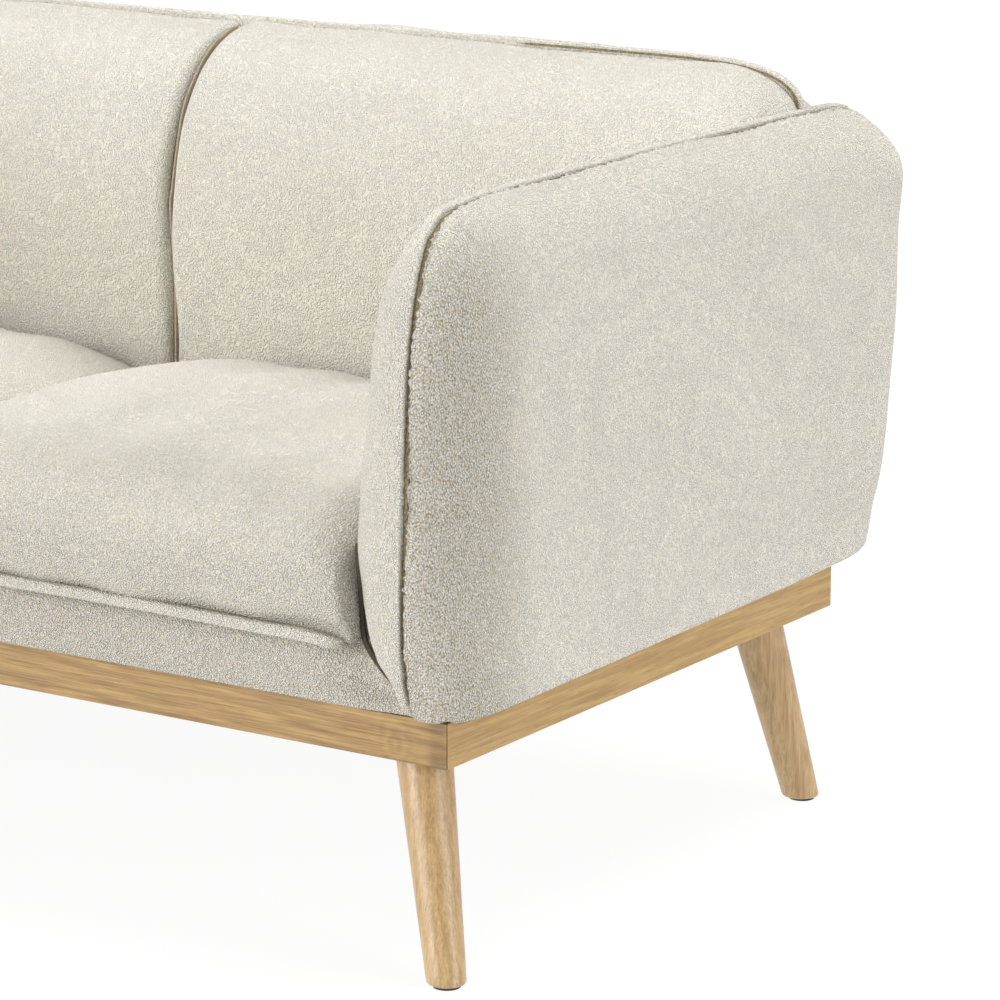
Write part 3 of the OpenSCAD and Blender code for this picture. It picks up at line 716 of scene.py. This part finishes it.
def back_gap_shade():
    """Painted shade: a dark strip down in the gap between the two back cushions, from the top down: (Y, Z).
    """
    line = spline([(688, 761), (641, 741), (606, 706), (586, 671), (567, 596), (564, 570), (570, 484),
                   (569, 405), (569, 385)], 160, closed=False)
    up = -outward(line, closed=False)
    up *= np.sign(-up[len(up) // 2, 0])
    return band_strip(at_x(-HALF - 0.3, line), at_x(0.0, up), (1.0, 0, 0), width=3.0, height=4.0)


def rear_pad():
    """The padded outside back, between the arms."""
    curve = spline(REAR_PROFILE, 240)
    lift = outward(curve)
    half = HALF + SEAM_X - 1
    rings = []
    for x in stations(-half, half, REAR_ROUND, REAR_ROUND, 70):
        from_end = half - abs(x)
        swell = 3.0 * (1 - abs(x / half) ** 2.5) * smoothstep(730, 800, curve[:, 0])
        p = curve - lift * (16 * quarter_drop(from_end, REAR_ROUND)) + lift * swell[:, None]
        p[:, 1] -= 85 * quarter_drop(from_end, 130) * smoothstep(560, 760, curve[:, 1])
        rings.append(at_x(x - HALF, p))
    return lofted(rings, flip=True)


# a dark strip of painted shade in the gap between the back cushions
make("back_gap_shade", back_gap_shade(), FABRIC_SHADE)
cushion = back_pad()
band, stitch_line_shade = back_band()
for side, mirror in SIDES:
    make(f"back_pad_{side}", cushion, FABRIC_UP, (f"back_cover_{side}", f"back_foam_{side}"),
         mirror=mirror, ripple=(1.1, 130, 5))
    make(f"back_band_{side}", band, FABRIC_BAND, (f"back_seam_{side}",), mirror=mirror)
    # a thin dark strip of painted shade along the back band's stitch line
    make(f"back_stitch_shade_{side}", stitch_line_shade, FABRIC_SEAM_SHADE, mirror=mirror)
make("rear_pad", rear_pad(), FABRIC_UP, ("rear_cover", "rear_foam"), ripple=(1.4, 160, 6))

# ---------------------------------------------------------------- seat

# a seat cushion's section, front bottom corner first: (Y, Z)
SEAT_PROFILE = [
    (-4, 315), (-13, 320), (-22, 328), (-32, 341), (-36, 358), (-30, 384), (-14, 405), (12, 422),
    (50, 434), (110, 441), (200, 445), (310, 447), (400, 445), (460, 440), (510, 430), (543, 415),
    (560, 396), (564, 372), (564, 325), (555, 314), (400, 312), (200, 312), (60, 312),
]
SEAT_LOW, SEAT_RISE = 314, 130.0  # its underside, and its height above that
# the section of the padded strip under the seats: (Y, Z)
BORDER_PROFILE = [
    (30, 251.6), (-2, 251.6), (-7, 256), (-10, 268), (-12, 285), (-12, 300), (-8, 312), (0, 316),
    (30, 316), (30, 290),
]
BORDER_END = -30.0  # its right end, inside the arm


def seat_pad():
    """A seat cushion: low and widely rounded at the middle gap, its low front tucked in behind the arm."""
    base = spline(SEAT_PROFILE, 300)
    mid, half = (SEAT_X0 + SEAT_X1) / 2, (SEAT_X1 - SEAT_X0) / 2
    rings = []
    for x in stations(SEAT_X0, SEAT_X1, 170, 80, 60):
        left, right = x - SEAT_X0, SEAT_X1 - x
        p = base.copy()
        front = np.clip((60 - p[:, 0]) / 60.0, 0, 1) * smoothstep(312, 330, p[:, 1])
        flat = 1 - abs((x - mid) / half) ** 2.4
        p[:, 0] += front * (14 * quarter_drop(left, 50) + 11 * quarter_drop(right, 46) + 4 * (1 - flat))
        high = np.clip((p[:, 1] - SEAT_LOW) / SEAT_RISE, 0, 1)
        gap_drop = (46 + 18 * smoothstep(360, 540, p[:, 0])) * quarter_drop(left, 170)
        p[:, 1] += high**2 * (5 * flat - 3 - gap_drop - 32 * quarter_drop(right, 50))
        tuck_in = 9 * smoothstep(SEAT_X1 - 60, SEAT_X1, x) * (1 - smoothstep(-10, 60, p[:, 0]))
        rings.append(at_x(x + tuck_in * (1 - smoothstep(335, 400, p[:, 1])), p))
    return lofted(rings, flip=True)


def seat_band():
    """The flat seam along a seat cushion's lower front, which bends back and down at the arm."""
    points = [(SEAT_X0 + 3, -12, 318), (SEAT_X0 + 16, -18, 319), (SEAT_X0 + 60, -22, 320), (-560, -24, 321),
              (-400, -24, 322), (-260, -24, 321)]
    for x in (-200, -180, -162, -148, -136, -124, -113, -104):
        bend = quarter_drop(SEAT_X1 + 9 - x, 52)
        points.append((x, -24 + 13 * bend, 320 - 6 * math.sin(bend * 2.4)))
    path = spline(points, 170, closed=False)
    along = np.gradient(path, axis=0)
    along /= np.linalg.norm(along, axis=1)[:, None]
    up = np.cross(along, [0, 0, 1.0])
    up /= np.linalg.norm(up, axis=1)[:, None]
    return band_strip(path, up, np.cross(up, along), width=11.0, height=7.0, taper=4)


def border():
    """The padded strip under the seats' front seams, from arm to arm."""
    base = spline(BORDER_PROFILE, 120)
    start = -2 * HALF - BORDER_END
    rings = []
    for x in stations(start, BORDER_END, 160, 160, 90):
        from_end = min(x - start, BORDER_END - x)
        p = base.copy()
        high = smoothstep(252, 282, p[:, 1])
        back = 24 * high * quarter_drop(from_end - 62, 70) + 5 * smoothstep(-70, -20, -from_end)
        p[:, 0] = np.minimum(p[:, 0] + back, np.maximum(p[:, 0], 5))
        rings.append(at_x(x, p))
    return lofted(rings, flip=True)


cushion = seat_pad()
for side, mirror in SIDES:
    make(f"seat_pad_{side}", cushion, FABRIC_SEAT, (f"seat_cover_{side}", f"seat_foam_{side}"),
         mirror=mirror, ripple=(1.8, 110, 7))
band = seat_band()
make("seat_band_right", band, FABRIC_BAND, ("seat_seams",))
make("seat_band_left", band, FABRIC_BAND, mirror=True)
make("front_border_pad", border(), FABRIC_BORDER, ("front_border",), ripple=(1.0, 70, 8))

# ---------------------------------------------------------------- plinth and legs

MITRE_GAP = 0.15  # how far each rail stops short of its corner
EASED_EDGE = 0.0012  # in metres
LEG_TOP_R, LEG_FOOT_R = 27.0, 18.5
SOLE_Z = 3.0  # a leg's cut foot, above its glide
SOLE_EASE = [(0.0, 2.6), (0.5, 1.2), (1.4, 0.35), (3.0, 0.0)]  # height above the sole, loss of radius
LEG_SIDES = 96


def rail(name, node, outline, mat):
    """A mitred rail with eased edges: a plan outline run up from the plinth's underside to its top."""
    n = len(outline)
    verts = [(x, y, z) for z in (PLINTH_BOTTOM, PLINTH_TOP) for x, y in outline]
    faces = [tuple(reversed(range(n))), tuple(range(n, 2 * n))]
    faces += [(i, (i + 1) % n, (i + 1) % n + n, i + n) for i in range(n)]
    obj = make(name, (verts, faces), mat, (node,))
    obj.data.polygons.foreach_set("use_smooth", [False] * len(faces))
    edge = obj.modifiers.new("eased", "BEVEL")
    edge.width = EASED_EDGE
    edge.segments = 3
    edge.harden_normals = True


def plinth():
    """Four rails, each mitred at 45 degrees, with a hairline gap at every corner."""
    width, depth, thick, gap = 2 * HALF, PLINTH_DEPTH, RAIL_THICK, MITRE_GAP
    rail("plinth_front", "plinth_front_rail",
         [(-width + gap, 0), (-gap, 0), (-thick - gap, thick), (-width + thick + gap, thick)], WOOD_X)
    rail("plinth_rear", "plinth_rear_rail",
         [(-width + thick + gap, depth - thick), (-thick - gap, depth - thick), (-gap, depth),
          (-width + gap, depth)], WOOD_X)
    rail("plinth_right", "plinth_right_rail",
         [(0, gap), (0, depth - gap), (-thick, depth - thick - gap), (-thick, thick + gap)], WOOD_Y)
    rail("plinth_left", "plinth_left_rail",
         [(-width, depth - gap), (-width, gap), (-width + thick, thick + gap),
          (-width + thick, depth - thick - gap)], WOOD_Y)


def leg(name, node, top, foot):
    """A splayed turned leg, cut level at both ends, with an eased foot. top and foot are where its axis
    meets the plinth's underside and the floor."""
    top, foot = np.array(top, float), np.array(foot, float)
    lean = foot - top
    stretch = math.sqrt(1 + (lean @ lean) / PLINTH_BOTTOM**2)
    heading = lean / np.linalg.norm(lean)
    levels = [(SOLE_Z + rise, loss) for rise, loss in SOLE_EASE]
    levels += [(z, 0.0) for z in np.linspace(SOLE_Z + 8, PLINTH_BOTTOM - 0.2, 40)]
    turns = [np.array([math.cos(a), math.sin(a)])
             for a in np.linspace(0, 2 * math.pi, LEG_SIDES, endpoint=False)]
    rings = []
    for z, loss in levels:
        t = z / PLINTH_BOTTOM
        radius = LEG_FOOT_R + (LEG_TOP_R - LEG_FOOT_R) * t - loss
        middle = foot + (top - foot) * t
        ring = [(*(middle + radius * (e + heading * (e @ heading) * (stretch - 1))), z) for e in turns]
        rings.append(np.array(ring))
    make(name, lofted(rings), WOOD_LEG, (node,))


def axis_ends(lo, hi, toward_hi):
    """Where a leg's axis lies at the top and at the foot, from its box's two ends in one direction."""
    if toward_hi:
        return lo + LEG_TOP_R, hi - LEG_FOOT_R
    return hi - LEG_TOP_R, lo + LEG_FOOT_R


plinth()
for side, mirror in SIDES:
    for end in ("front", "rear"):
        node = f"leg_{end}_{side}"
        lo, hi = (corner / MM - Vector(CORNER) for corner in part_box(node))
        top_x, foot_x = axis_ends(lo.x, hi.x, toward_hi=not mirror)
        top_y, foot_y = axis_ends(lo.y, hi.y, toward_hi=end == "rear")
        leg(node + "_turned", node, (top_x, top_y), (foot_x, foot_y))

# ---------------------------------------------------------------- floor, light and camera

FLOOR_HALF = 40  # in metres
FLOOR_GLOW = 0.93
SKY_LIGHT = 0.08
# each light's name, where it comes from, how much it adds to a white surface, and its spread in degrees
LIGHTS = (
    ("above", (0.05, 0.3, 0.95), 0.88, 50),
    ("right", (1.0, 0.1, 0.4), 0.56, 40),
    ("left", (-0.6, -0.9, 0.25), 0.98, 40),
    ("front", (0.0, -0.7, 0.8), 0.15, 40),
)
CAMERA_AT = (2177.05, -3209.82, 1379.17)  # from the plinth's corner
CAMERA_DOWN, CAMERA_TURN = 13.3338, 33.4423  # in degrees, below level and to the left
CAMERA_LENS, SENSOR_WIDTH = 160.24, 36.0


def studio_floor():
    """A wide white floor that takes only a faint shadow."""
    mat = plain("studio_floor", (0.08, 0.08, 0.08), 0.9, grain=4.0, depth=0.0001, spread=0.01)
    shader = mat.node_tree.nodes["Principled BSDF"]
    shader.inputs["Specular IOR Level"].default_value = 0.0
    shader.inputs["Emission Color"].default_value = (1.0, 1.0, 1.0, 1.0)
    shader.inputs["Emission Strength"].default_value = FLOOR_GLOW
    mesh = bpy.data.meshes.new("studio_floor")
    corners = [(x * FLOOR_HALF, y * FLOOR_HALF, 0) for x, y in ((-1, -1), (1, -1), (1, 1), (-1, 1))]
    mesh.from_pydata(corners, [], [(0, 1, 2, 3)])
    mesh.materials.append(mat)
    floor = bpy.data.objects.new("studio_floor", mesh)
    bpy.context.scene.collection.objects.link(floor)


def studio_light():
    """A faint white sky and wide, even lights."""
    world = bpy.data.worlds.new("studio")
    bpy.context.scene.world = world
    world.use_nodes = True
    background = world.node_tree.nodes["Background"]
    background.inputs["Color"].default_value = (1.0, 1.0, 1.0, 1.0)
    background.inputs["Strength"].default_value = SKY_LIGHT
    for name, source, share, spread in LIGHTS:
        data = bpy.data.lights.new(name, "SUN")
        data.energy = share * math.pi
        data.angle = math.radians(spread)
        light = bpy.data.objects.new(name, data)
        bpy.context.scene.collection.objects.link(light)
        light.rotation_euler = Vector(source).to_track_quat("Z", "Y").to_euler()


def studio_camera():
    """A long lens in front of the sofa's right corner, looking down at it."""
    data = bpy.data.cameras.new("camera")
    data.sensor_width = SENSOR_WIDTH
    data.lens = CAMERA_LENS
    camera = bpy.data.objects.new("camera", data)
    bpy.context.scene.collection.objects.link(camera)
    camera.location = Vector((CORNER + np.array(CAMERA_AT)) * MM)
    camera.rotation_euler = (math.radians(90 - CAMERA_DOWN), 0.0, math.radians(CAMERA_TURN))
    bpy.context.scene.camera = camera


studio_floor()
studio_light()
studio_camera()
bpy.context.scene.view_settings.view_transform = "Standard"
